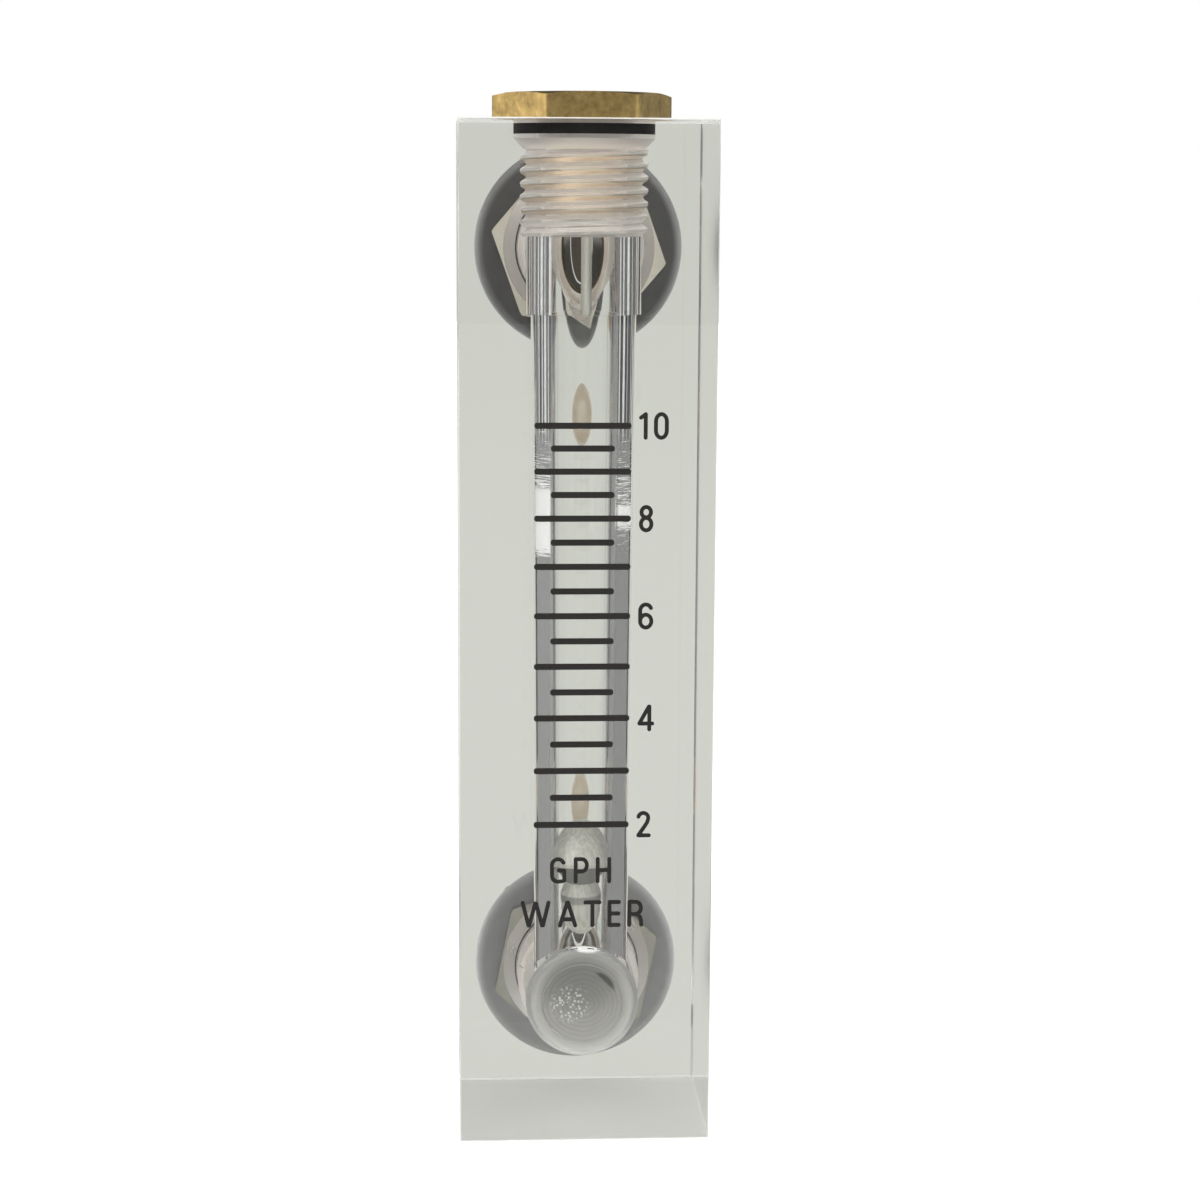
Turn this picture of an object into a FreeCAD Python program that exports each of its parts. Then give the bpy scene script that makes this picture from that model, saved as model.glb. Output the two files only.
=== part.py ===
"""Clear block rotameter with rear ports, a guided steel float and a brass top plug.

Frame: millimetres, +Z up. The origin is the centre of the block's bottom face, the scale
faces -Y and both ports face +Y.
"""
import FreeCAD, Part
import math
import os
from types import SimpleNamespace

import Sketcher

doc = FreeCAD.newDocument("rotameter")
sheet = doc.addObject("Spreadsheet::Sheet", "Sizes")


class Size:
    """A length that carries its spreadsheet formula beside its present value."""

    def __init__(self, formula, value):
        self.formula = formula
        self.value = value

    def combine(self, sign, other, value):
        formula = other.formula if isinstance(other, Size) else repr(float(other))
        return Size(f"({self.formula} {sign} {formula})", value)

    def __add__(self, other):
        return self.combine("+", other, self.value + number(other))

    def __sub__(self, other):
        return self.combine("-", other, self.value - number(other))

    def __mul__(self, other):
        return self.combine("*", other, self.value * number(other))

    def __truediv__(self, other):
        return self.combine("/", other, self.value / number(other))

    def __neg__(self):
        return Size(f"(0 - {self.formula})", -self.value)

    def squared(self):
        return self.combine("*", self, self.value ** 2)

    def root(self):
        return Size(f"sqrt({self.formula})", math.sqrt(self.value))


def number(size):
    return size.value if isinstance(size, Size) else float(size)


def bind(owner, path, size):
    """Ties one property of an object to the spreadsheet."""
    if isinstance(size, Size):
        owner.setExpression(path, size.formula)


# Driving dimensions, in millimetres and degrees. Each is a row of the spreadsheet, under its
# own name as the alias that the formulas use.
DIMENSIONS = {
    # Block
    "block_width": 25.1,          # across the scale face, sawn from 1 inch sheet
    "block_depth": 28.6,          # front face to back face
    "block_height": 101.6,        # bottom face to top face
    "port_inset": 12.7,           # port axis from the nearer end face

    # Flow bore, with a straight foot round the float seat and a taper from there upwards
    "bore_low": 4.81,             # radius of the foot
    "bore_high": 5.27,            # radius at the shoulder
    "shoulder_depth": 19.05,      # top face to the shoulder above the bore

    # Tapped holes, one for the plug and two for the ports
    "drill_radius": 5.75,         # tapping drill
    "thread_height": 0.25,        # tapping drill to the pitch radius of the thread
    "thread_play": 0.05,          # radial play of a screwed thread
    "plug_tap_spare": 1.9,        # thread left below the plug
    "port_tap_spare": 1.1,        # thread left before a fitting's nose
    "chamber_end_wall": 7.8,      # front face to the blind end of the inlet
    "chamber_corner": 1.3,        # bevel of the blind end
    "outlet_stop": 0.6,           # bore's axis to the end of the outlet drill
    "mouth_flare": 1.8,           # 45 degree countersink of a port, depth and flare

    # Plug and its seal
    "hex_flats": 15.875,          # plug and fittings, across flats
    "plug_head": 2.7,             # height of the plug's hexagon
    "plug_stem": 9.5,             # length of the plug below its hexagon
    "plug_turn": 3.9,             # degrees that the plug's hexagon is turned
    "edge_break": 0.5,            # chamfer at hexagon rims and thread ends
    "seal_margin": 1.0,           # counterbore of the plug's seal beyond the thread
    "seal_depth": 1.85,           # depth of that counterbore
    "neck_relief": 0.75,          # necks that carry the seals, below the pitch radius
    "seal_gap": 0.04,             # free space kept round each seal
    "seal_crown": 0.4,            # bevel of the squeezed plug seal
    "seal_tip": 0.5,              # blunt outer edge of the squeezed port seals

    # Stop rod
    "rod_radius": 0.8,            # stop rod
    "rod_grip": 6.0,              # length of rod held in the plug
    "rod_play": 0.06,             # radial play of the rod in the plug
    "rod_offset": 0.4,            # rod axis beside the bore's axis
    "rod_drop": 0.15,             # shoulder to the rod's lower end, downwards

    # Float, from its nose upwards
    "nose_height": 2.95,          # flat of the ball nose to its widest place
    "bulb_radius": 3.05,          # ball nose and guide bulb
    "bulb_height": 0.75,          # straight side of the guide bulb
    "collar_step": 0.13,          # collar beyond the guide bulb
    "collar_height": 0.8,         # straight side of the collar
    "waist_radius": 2.45,         # waist under the head
    "waist_drop": 1.1,            # cone from the collar to the waist
    "head_play": 0.19,            # float's head inside the foot of the bore
    "head_flare": 1.5,            # cone from the waist to the head
    "rim_height": 1.2,            # straight rim of the head
    "dome_height": 3.6,           # domed top

    # Float seat, a ring in the foot of the bore
    "seat_thickness": 1.15,       # height of the ring
    "seat_ledge": 0.15,           # ring's throat inside the float's bulb
    "seat_flare": 0.4,            # widening of the ring's lower mouth
    "seat_play": 0.02,            # radial play of the ring in the bore
    "float_lift": 0.08,           # nose of the float above the ring's lower face

    # Port fittings, washers and nuts
    "flange_thickness": 1.0,      # hexagon flange
    "nose_length": 7.3,           # fitting's nose inside the block
    "shank_radius": 6.3,          # rear shank over its thread
    "shank_length": 14.6,         # rear shank behind the flange
    "fitting_bore": 4.2,          # through bore of the fitting
    "pipe_step": 0.4,             # pipe thread beyond the bore, a plain bore of its mean radius
    "pipe_depth": 9.5,            # length of the pipe thread
    "washer_radius": 10.75,       # washer
    "washer_thickness": 1.6,      # washer
    "washer_bevel": 0.6,          # bevel of the washer's front rim
    "washer_play": 0.2,           # radial play of the washer on the shank
    "nut_flats": 17.46,           # nut across flats
    "nut_thickness": 4.8,         # nut
    "inlet_turn": -18.5,          # degrees that the lower flange is turned
    "outlet_turn": 10.5,          # degrees that the upper flange is turned

    # Threaded inserts in the back face
    "insert_spacing": 41.28,      # between the two inserts
    "insert_radius": 3.175,       # insert
    "insert_wall": 1.425,         # wall of the insert
    "insert_length": 3.2,         # insert
    "insert_spare": 1.2,          # blind hole past the insert

    # Printed scale
    "scale_start": 20.0,          # lowest line above the lower port's axis
    "scale_step": 5.44,           # lowest whole step
    "scale_shrink": 0.1415,       # loss from one whole step to the next
    "scale_shift": -0.5,          # print beside the block's centre plane
    "long_mark": 9.4,             # length of a whole-number line
    "short_mark": 6.2,            # length of a half line
    "mark_width": 0.6,            # height of every line
    "mark_corner": 0.17,          # bevel of a line's ends
    "ink_thickness": 0.1,         # thickness of the print
}
SCALE_STEPS = 8

for row, (alias, value) in enumerate(DIMENSIONS.items(), start=1):
    sheet.set(f"A{row}", alias)
    sheet.set(f"B{row}", str(value))
    sheet.setAlias(f"B{row}", alias)
dim = SimpleNamespace(**{
    alias: Size(f"Sizes.{alias}", value) for alias, value in DIMENSIONS.items()})

# Derived places and fits
lower_port = dim.port_inset
upper_port = dim.block_height - dim.port_inset
front_face = -dim.block_depth / 2
back_face = dim.block_depth / 2
shoulder = dim.block_height - dim.shoulder_depth
tap_radius = dim.drill_radius + dim.thread_height
thread_radius = tap_radius - dim.thread_play
neck_radius = tap_radius - dim.neck_relief
neck_length = dim.mouth_flare
seal_bore = tap_radius + dim.seal_margin
plug_foot = -dim.plug_stem
seat_base = lower_port + dim.drill_radius
seat_top = seat_base + dim.seat_thickness
float_nose = seat_base + dim.float_lift
lower_insert_height = dim.block_height / 2 - dim.insert_spacing / 2
upper_insert_height = dim.block_height / 2 + dim.insert_spacing / 2
doc.recompute()


def origin_plane(body, role):
    return next(item for item in body.Origin.OriginFeatures if item.Role == role)


def new_body(label):
    body = doc.addObject("PartDesign::Body", label)
    body.Label = label
    return body


def new_sketch(body, role, shift=(0, 0, 0)):
    """Sketch on one of the body's own planes, moved by shift in the sketch's own axes."""
    sketch = body.newObject("Sketcher::SketchObject", body.Name + "_outline")
    sketch.AttachmentSupport = [(origin_plane(body, role), "")]
    sketch.MapMode = "FlatFace"
    sketch.AttachmentOffset = FreeCAD.Placement(
        FreeCAD.Vector(*[number(part) for part in shift]), FreeCAD.Rotation())
    for axis, part in zip("xyz", shift):
        bind(sketch, f".AttachmentOffset.Base.{axis}", part)
    return sketch


def dimension(sketch, kind, *elements, size):
    """Adds one driving constraint and ties it to the spreadsheet."""
    index = sketch.addConstraint(Sketcher.Constraint(kind, *elements, number(size)))
    bind(sketch, f"Constraints[{index}]", size)


def draw_outline(sketch, corners, arcs=()):
    """Closed outline through the corners. arcs maps a corner's index to the radius and turn
    (1 left, -1 right) of the arc that leaves it; every other side is a straight line."""
    arcs = dict(arcs)
    places = [FreeCAD.Vector(number(x), number(y), 0) for x, y in corners]
    sides = []
    for index, start in enumerate(places):
        end = places[(index + 1) % len(places)]
        if index not in arcs:
            sides.append((sketch.addGeometry(Part.LineSegment(start, end)), 1, 2))
            continue
        radius, turn = arcs[index]
        chord = end - start
        reach = math.sqrt(max(number(radius) ** 2 - (chord.Length / 2) ** 2, 0))
        across = FreeCAD.Vector(-chord.y, chord.x, 0).normalize() * (reach * turn)
        centre = (start + end) / 2 + across
        first, last = (start, end) if turn > 0 else (end, start)
        angles = [math.atan2(place.y - centre.y, place.x - centre.x) for place in (first, last)]
        circle = Part.Circle(centre, FreeCAD.Vector(0, 0, 1), number(radius))
        arc = sketch.addGeometry(Part.ArcOfCircle(circle, *angles))
        sides.append((arc, 1, 2) if turn > 0 else (arc, 2, 1))
    for index, (side, begin, finish) in enumerate(sides):
        following, following_begin, _ = sides[(index + 1) % len(sides)]
        sketch.addConstraint(
            Sketcher.Constraint("Coincident", side, finish, following, following_begin))
        dimension(sketch, "DistanceX", -1, 1, side, begin, size=corners[index][0])
        dimension(sketch, "DistanceY", -1, 1, side, begin, size=corners[index][1])
        if index in arcs:
            dimension(sketch, "Radius", side, size=arcs[index][0])


def turn_about(body, kind, sketch, axis):
    """Revolution or Groove of a sketch about its own horizontal or vertical axis."""
    feature = body.newObject("PartDesign::" + kind, body.Name + "_" + kind.lower())
    feature.Profile = sketch
    feature.ReferenceAxis = (sketch, [axis])
    feature.Angle = 360
    doc.recompute()
    return feature


def turned(body, kind, corners, arcs=()):
    """Turned form about the body's own Z axis. Each corner is (radius, height)."""
    sketch = new_sketch(body, "XZ_Plane")
    draw_outline(sketch, corners, arcs)
    return turn_about(body, kind, sketch, "V_Axis")


def pad_hexagon(body, flats, base, thickness):
    """Hexagon about the body's Z axis, from base upwards."""
    sketch = new_sketch(body, "XY_Plane", (0, 0, base))
    corner = flats / math.sqrt(3)
    draw_outline(sketch, [(corner, 0), (corner / 2, flats / 2), (-corner / 2, flats / 2),
                          (-corner, 0), (-corner / 2, -flats / 2), (corner / 2, -flats / 2)])
    pad = body.newObject("PartDesign::Pad", body.Name + "_hexagon")
    pad.Profile = sketch
    bind(pad, "Length", thickness)
    doc.recompute()
    return pad


def place(body, x=0, y=0, z=0, rotation=FreeCAD.Rotation()):
    body.Placement = FreeCAD.Placement(
        FreeCAD.Vector(number(x), number(y), number(z)), rotation)
    for axis, size in zip("xyz", (x, y, z)):
        bind(body, f".Placement.Base.{axis}", size)


def facing_back(turn=0):
    """Turns a body's Z axis to the back of the block, after a turn about that axis."""
    about_z = FreeCAD.Rotation(FreeCAD.Vector(0, 0, 1), number(turn))
    return FreeCAD.Rotation(FreeCAD.Vector(1, 0, 0), -90) * about_z


# Acrylic block: one machined piece. The tap drill, the taper reamer and the counterbore share
# the vertical axis; each port is drilled and tapped from the back.
def port_hole(body, height, front_end):
    """Hole along Y at the given height, from its bevelled front end to the countersunk back."""
    sketch = new_sketch(body, "YZ_Plane", (0, height, 0))
    last_thread = back_face - dim.nose_length - dim.port_tap_spare
    draw_outline(sketch, [
        (front_end, 0), (front_end, dim.drill_radius - dim.chamber_corner),
        (front_end + dim.chamber_corner, dim.drill_radius), (last_thread, dim.drill_radius),
        (last_thread, tap_radius), (back_face - dim.mouth_flare, tap_radius),
        (back_face, tap_radius + dim.mouth_flare), (back_face, 0)])
    return turn_about(body, "Groove", sketch, "H_Axis")


def insert_hole(body, height):
    sketch = new_sketch(body, "YZ_Plane", (0, height, 0))
    hole_end = back_face - dim.insert_length - dim.insert_spare
    draw_outline(sketch, [(hole_end, 0), (hole_end, dim.insert_radius),
                          (back_face, dim.insert_radius), (back_face, 0)])
    return turn_about(body, "Groove", sketch, "H_Axis")


def build_block():
    body = new_body("acrylic_block")
    outline = new_sketch(body, "XY_Plane")
    side, depth = dim.block_width / 2, dim.block_depth / 2
    draw_outline(outline, [(-side, -depth), (side, -depth), (side, depth), (-side, depth)])
    pad = body.newObject("PartDesign::Pad", "block_blank")
    pad.Profile = outline
    bind(pad, "Length", dim.block_height)
    doc.recompute()

    last_thread = dim.block_height - dim.plug_stem - dim.plug_tap_spare
    seal_floor = dim.block_height - dim.seal_depth
    turned(body, "Groove", [
        (0, lower_port), (dim.bore_low, lower_port), (dim.bore_low, seat_top),
        (dim.bore_high, shoulder),
        (dim.drill_radius, shoulder), (dim.drill_radius, last_thread), (tap_radius, last_thread),
        (tap_radius, seal_floor - dim.seal_margin), (seal_bore, seal_floor),
        (seal_bore, dim.block_height), (0, dim.block_height)])
    port_hole(body, lower_port, front_face + dim.chamber_end_wall)
    port_hole(body, upper_port, dim.outlet_stop)
    insert_hole(body, lower_insert_height)
    insert_hole(body, upper_insert_height)
    return body


# Top plug: turned from hexagon brass. Its own origin lies on the block's top face.
def chamfer_hexagon(body, flats, height):
    """Breaks the upper corners of a hexagon at 30 degrees, as a turning tool does."""
    rim = flats / 2
    cut = flats / math.sqrt(3)
    turned(body, "Groove", [
        (rim, height), (cut, height - (cut - rim) / math.sqrt(3)), (cut, height)])


def build_plug():
    body = new_body("top_plug")
    pad_hexagon(body, dim.hex_flats, 0, dim.plug_head)
    chamfer_hexagon(body, dim.hex_flats, dim.plug_head)
    thread_top = -dim.seal_depth - dim.seal_margin
    turned(body, "Revolution", [
        (0, 0), (0, plug_foot), (thread_radius - dim.edge_break, plug_foot),
        (thread_radius, plug_foot + dim.edge_break), (thread_radius, thread_top),
        (neck_radius, thread_top), (neck_radius, 0)])
    sketch = new_sketch(body, "XY_Plane", (dim.rod_offset, 0, plug_foot))
    sketch.addGeometry(Part.Circle(FreeCAD.Vector(), FreeCAD.Vector(0, 0, 1), 1))
    sketch.addConstraint(Sketcher.Constraint("Coincident", 0, 3, -1, 1))
    dimension(sketch, "Radius", 0, size=dim.rod_radius + dim.rod_play)
    hole = body.newObject("PartDesign::Pocket", "rod_hole")
    hole.Profile = sketch
    hole.Reversed = True
    bind(hole, "Length", dim.rod_grip)
    doc.recompute()
    place(body, z=dim.block_height, rotation=FreeCAD.Rotation(number(dim.plug_turn), 0, 0))
    return body


# Plug seal: an O-ring squeezed square between the hexagon, the neck and the counterbore.
def build_plug_seal():
    body = new_body("plug_o_ring")
    crown = dim.seal_crown
    inner = neck_radius + dim.seal_gap
    outer = seal_bore - dim.seal_gap
    low = dim.block_height - dim.seal_depth + dim.seal_gap
    high = dim.block_height - dim.seal_gap
    turned(body, "Revolution", [
        (inner, low), (outer - crown, low), (outer, low + crown), (outer, high - crown),
        (outer - crown, high), (inner, high)])
    return body


# Stop rod: straight rod, held in the plug, that ends just below the bore's shoulder.
def build_stop_rod():
    body = new_body("float_stop_rod")
    low = shoulder - dim.rod_drop
    high = dim.block_height + plug_foot + dim.rod_grip
    turned(body, "Revolution", [
        (0, low), (dim.rod_radius, low), (dim.rod_radius, high), (0, high)])
    place(body, x=dim.rod_offset)
    return body


# Float: turned from one bar, with a ball nose, a guide bulb with a collar, a narrow waist and a
# domed head. Its own origin is at its nose.
def build_float():
    body = new_body("float")
    collar_low = dim.nose_height + dim.bulb_height
    collar_high = collar_low + dim.collar_height
    waist = collar_high + dim.waist_drop
    head_low = waist + dim.head_flare
    head_high = head_low + dim.rim_height
    top = head_high + dim.dome_height
    collar_radius = dim.bulb_radius + dim.collar_step
    head_radius = dim.bore_low - dim.head_play
    nose_flat = (dim.bulb_radius.squared() - dim.nose_height.squared()).root()
    dome_radius = (head_radius.squared() + dim.dome_height.squared()) / (dim.dome_height * 2)
    turned(body, "Revolution", [
        (0, 0), (nose_flat, 0), (dim.bulb_radius, dim.nose_height),
        (dim.bulb_radius, collar_low), (collar_radius, collar_low), (collar_radius, collar_high),
        (dim.waist_radius, waist), (head_radius, head_low), (head_radius, head_high), (0, top)],
        {1: (dim.bulb_radius, 1), 8: (dome_radius, 1)})
    place(body, z=float_nose)
    return body


# Float seat: clear ring in the foot of the bore, flush with the roof of the inlet chamber.
def build_seat():
    body = new_body("float_seat")
    outer = dim.bore_low - dim.seat_play
    throat = dim.bulb_radius - dim.seat_ledge
    turned(body, "Revolution", [
        (throat + dim.seat_flare, seat_base), (outer, seat_base), (outer, seat_top),
        (throat, seat_top)])
    return body


# Port fitting: its own Z axis runs from the block's back face (0) to the rear.
def build_fitting(label, height, turn):
    body = new_body(label)
    pad_hexagon(body, dim.hex_flats, 0, dim.flange_thickness)
    edge = dim.edge_break
    shank_end = dim.flange_thickness + dim.shank_length
    turned(body, "Revolution", [
        (0, -dim.nose_length), (thread_radius, -dim.nose_length), (thread_radius, -neck_length),
        (neck_radius, -neck_length), (neck_radius, 0), (dim.shank_radius, dim.flange_thickness),
        (dim.shank_radius, shank_end - edge), (dim.shank_radius - edge, shank_end),
        (0, shank_end)])
    pipe_radius = dim.fitting_bore + dim.pipe_step
    pipe_start = shank_end - dim.pipe_depth
    turned(body, "Groove", [
        (0, -dim.nose_length), (dim.fitting_bore, -dim.nose_length),
        (dim.fitting_bore, pipe_start), (pipe_radius, pipe_start), (pipe_radius, shank_end - edge),
        (pipe_radius + edge, shank_end), (0, shank_end)])
    place(body, y=back_face, z=height, rotation=facing_back(turn))
    return body


# Port seal: O-ring squeezed into the corner between the countersink, the neck and the flange.
def build_port_seal(label, height):
    body = new_body(label)
    inner = neck_radius + dim.seal_gap
    rear = -dim.seal_gap
    front = dim.seal_gap - neck_length
    slope = tap_radius + dim.mouth_flare - dim.seal_gap * 2
    tip = dim.seal_tip
    outer = slope - dim.seal_gap - tip
    turned(body, "Revolution", [
        (inner, rear), (outer, rear), (outer, rear - tip), (slope + front, front),
        (inner, front)])
    place(body, y=back_face, z=height, rotation=facing_back())
    return body


# Washer: flat ring with a bevelled front rim, behind the flange.
def build_washer(label, height):
    body = new_body(label)
    inner = dim.shank_radius + dim.washer_play
    outer, bevel, rear = dim.washer_radius, dim.washer_bevel, dim.washer_thickness
    turned(body, "Revolution", [
        (inner, 0), (outer - bevel, 0), (outer, bevel), (outer, rear), (inner, rear)])
    place(body, y=back_face + dim.flange_thickness, z=height, rotation=facing_back())
    return body


# Nut: hexagon with one chamfered face, tight against the washer.
def build_nut(label, height, turn):
    body = new_body(label)
    pad_hexagon(body, dim.nut_flats, 0, dim.nut_thickness)
    chamfer_hexagon(body, dim.nut_flats, dim.nut_thickness)
    bore = dim.shank_radius + dim.thread_play
    turned(body, "Groove", [
        (0, 0), (bore, 0), (bore, dim.nut_thickness - dim.edge_break),
        (bore + dim.edge_break, dim.nut_thickness), (0, dim.nut_thickness)])
    place(body, y=back_face + dim.flange_thickness + dim.washer_thickness, z=height,
          rotation=facing_back(turn))
    return body


# Threaded insert: brass sleeve, flush with the back face.
def build_insert(label, height):
    body = new_body(label)
    bore = dim.insert_radius - dim.insert_wall
    turned(body, "Revolution", [
        (bore, -dim.insert_length), (dim.insert_radius, -dim.insert_length),
        (dim.insert_radius, 0), (bore, 0)])
    place(body, y=back_face, z=height, rotation=facing_back())
    return body


# Printed scale: lines with bevelled ends, closer together towards the wide end of the bore.
def add_mark(sketch, height, length):
    middle, bevel = dim.scale_shift, dim.mark_corner
    left, right = middle - length / 2, middle + length / 2
    low, high = height - dim.mark_width / 2, height + dim.mark_width / 2
    draw_outline(sketch, [
        (left + bevel, low), (right - bevel, low), (right, low + bevel), (right, high - bevel),
        (right - bevel, high), (left + bevel, high), (left, high - bevel), (left, low + bevel)])


def build_scale():
    body = new_body("graduation_marks")
    sketch = new_sketch(body, "XZ_Plane", (0, 0, back_face))
    lowest = lower_port + dim.scale_start
    for half_step in range(2 * SCALE_STEPS + 1):
        step = half_step / 2
        height = lowest + dim.scale_step * step - dim.scale_shrink * (step * (step - 1) / 2)
        add_mark(sketch, height, dim.short_mark if half_step % 2 else dim.long_mark)
    pad = body.newObject("PartDesign::Pad", "ink")
    pad.Profile = sketch
    bind(pad, "Length", dim.ink_thickness)
    doc.recompute()
    return body


sub_parts = [
    build_block(), build_plug(), build_plug_seal(), build_stop_rod(), build_float(), build_seat(),
    build_fitting("inlet_fitting", lower_port, dim.inlet_turn),
    build_fitting("outlet_fitting", upper_port, dim.outlet_turn),
    build_port_seal("inlet_o_ring", lower_port),
    build_port_seal("outlet_o_ring", upper_port),
    build_washer("inlet_washer", lower_port),
    build_washer("outlet_washer", upper_port),
    build_nut("inlet_nut", lower_port, dim.inlet_turn),
    build_nut("outlet_nut", upper_port, dim.outlet_turn),
    build_insert("lower_insert", lower_insert_height),
    build_insert("upper_insert", upper_insert_height),
    build_scale(),
]
doc.recompute()

for item in doc.Objects:
    if "Invalid" in item.State or "Error" in item.State:
        raise RuntimeError(f"{item.Label} did not compute: {item.State}")
for body in sub_parts:
    if body.Shape.isNull() or not body.Shape.isValid():
        raise RuntimeError(f"{body.Label} has no valid shape")

os.makedirs("parts", exist_ok=True)
for body in sub_parts:
    body.Shape.exportStep(f"parts/{body.Label}.step")
    box = body.Shape.BoundBox
    print(f"{body.Label:18s} {body.Shape.Volume:9.1f} mm3  x {box.XMin:.2f} to {box.XMax:.2f}"
          f"  y {box.YMin:.2f} to {box.YMax:.2f}  z {box.ZMin:.2f} to {box.ZMax:.2f}")
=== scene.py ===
import math

import bmesh
import bpy
from mathutils import Matrix, Vector


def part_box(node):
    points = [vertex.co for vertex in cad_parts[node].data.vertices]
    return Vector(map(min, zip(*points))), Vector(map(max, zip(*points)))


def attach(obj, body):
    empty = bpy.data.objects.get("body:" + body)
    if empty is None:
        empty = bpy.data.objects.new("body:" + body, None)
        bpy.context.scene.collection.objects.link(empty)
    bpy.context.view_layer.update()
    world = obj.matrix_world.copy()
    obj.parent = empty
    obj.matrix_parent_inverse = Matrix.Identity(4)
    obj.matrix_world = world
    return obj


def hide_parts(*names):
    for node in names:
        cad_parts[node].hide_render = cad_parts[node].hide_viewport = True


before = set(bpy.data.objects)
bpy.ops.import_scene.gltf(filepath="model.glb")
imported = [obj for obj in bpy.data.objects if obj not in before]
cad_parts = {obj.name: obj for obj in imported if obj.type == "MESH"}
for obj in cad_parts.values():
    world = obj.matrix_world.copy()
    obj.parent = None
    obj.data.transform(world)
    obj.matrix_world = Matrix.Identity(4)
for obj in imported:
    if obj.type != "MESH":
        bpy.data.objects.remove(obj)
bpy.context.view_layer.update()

# --------------------------------------------------------------------------------------------
# Acrylic block. Sawn from thick clear cast sheet, polished front and back. The flow bore, the
# plug's tapped hole, both tapped ports and the pockets of the inserts are drilled into it, and
# every tool leaves a finish of its own on its wall.
MM = 0.001
COLUMNS = 144
EDGE_BREAK = 0.12
PAST_FACE = 1.0
block_low, block_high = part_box("acrylic_block")
block_top = block_high.z / MM
block_side = block_high.x / MM
back_face = block_high.y / MM
front_face = block_low.y / MM


def middle_height(node_name):
    low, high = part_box(node_name)
    return (low.z + high.z) / 2 / MM


port_heights = {"inlet": middle_height("inlet_nut"), "outlet": middle_height("outlet_nut")}
insert_heights = {"lower": middle_height("lower_insert"), "upper": middle_height("upper_insert")}


class Tone:
    """One output of a node, on which plain arithmetic adds Math nodes."""

    def __init__(self, finish, socket):
        self.finish, self.socket = finish, socket

    def maths(self, operation, first, second=0.0):
        return self.finish.node("Math", {"operation": operation}, {0: first, 1: second})

    def __add__(self, other):
        return self.maths("ADD", self, other)

    def __radd__(self, other):
        return self.maths("ADD", other, self)

    def __sub__(self, other):
        return self.maths("SUBTRACT", self, other)

    def __rsub__(self, other):
        return self.maths("SUBTRACT", other, self)

    def __mul__(self, other):
        return self.maths("MULTIPLY", self, other)

    def __rmul__(self, other):
        return self.maths("MULTIPLY", other, self)

    def __pow__(self, other):
        return self.maths("POWER", self, other)

    def __rpow__(self, other):
        return self.maths("POWER", other, self)

    def __abs__(self):
        return self.maths("ABSOLUTE", self)


class Finish:
    """The node tree of one finish of the meter, or of the room round it."""

    def __init__(self, owner):
        self.owner = owner
        owner.use_nodes = True
        self.tree = owner.node_tree
        self.tree.nodes.clear()

    def node(self, kind, settings=None, inputs=None, output=0):
        """Makes any node: its settings come first, then its inputs, as values or links."""
        made = self.tree.nodes.new("ShaderNode" + kind)
        for name, value in (settings or {}).items():
            if name == "stops":
                ramp = made.color_ramp
                while len(ramp.elements) < len(value):
                    ramp.elements.new(0.5)
                for stop, (position, colour) in zip(ramp.elements, value):
                    stop.position, stop.color = position, (*colour, 1)
            else:
                setattr(made, name, value)
        for name, value in (inputs or {}).items():
            socket = made.inputs[name]
            if isinstance(value, Tone):
                self.tree.links.new(value.socket, socket)
            elif socket.type == "RGBA":
                socket.default_value = (*value, 1)
            else:
                socket.default_value = value
        return Tone(self, made.outputs[output]) if made.outputs else None

    def place(self, stretch=(1, 1, 1)):
        """The piece's own coordinates in millimetres, stretched along each axis."""
        return self.node("Mapping", {"vector_type": "POINT"}, {
            "Vector": self.node("TexCoord", output="Object"),
            "Scale": tuple(factor / MM for factor in stretch)})

    def parts(self, vector):
        """The x, y and z of a vector."""
        split = self.node("SeparateXYZ", {}, {"Vector": vector})
        return [Tone(self, socket) for socket in split.socket.node.outputs]

    def cloud(self, size, detail=3.0, stretch=(1, 1, 1)):
        """Soft uneven pattern from 0 to 1 whose patches are about size millimetres."""
        return self.node("TexNoise", {"noise_dimensions": "3D"}, {
            "Vector": self.place(stretch), "Scale": 1 / size, "Detail": detail})

    def fade(self, value, start, end, low=0.0, high=1.0, soft=False):
        """Goes from low to high while the value goes from start to end, and holds beyond."""
        return self.node("MapRange", {"interpolation_type": "SMOOTHSTEP" if soft else "LINEAR"}, {
            0: value, 1: start, 2: end, 3: low, 4: high})

    def blend(self, mask, first, second):
        """Two colours, the second one where the mask is 1."""
        return self.node("Mix", {"data_type": "RGBA"}, {0: mask, 6: first, 7: second}, output=2)

    def bump(self, height, strength, distance):
        return self.node("Bump", {}, {
            "Height": height, "Strength": strength, "Distance": distance * MM})

    def principled(self, **inputs):
        """One Principled shader. Its inputs are named with underscores."""
        return self.node("BsdfPrincipled", {}, {
            name.replace("_", " "): value for name, value in inputs.items()})

    def either(self, mask, first, second):
        """Two shaders, the second one where the mask is 1."""
        return self.node("MixShader", {}, {0: mask, 1: first, 2: second})

    def close(self, shader):
        """Ends the tree with a shader, and gives the material."""
        self.node("OutputMaterial", {}, {"Surface": shader})
        return self.owner

    def surface(self, **inputs):
        return self.close(self.principled(**inputs))


def finish_of(name):
    return Finish(bpy.data.materials.new(name))


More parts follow.
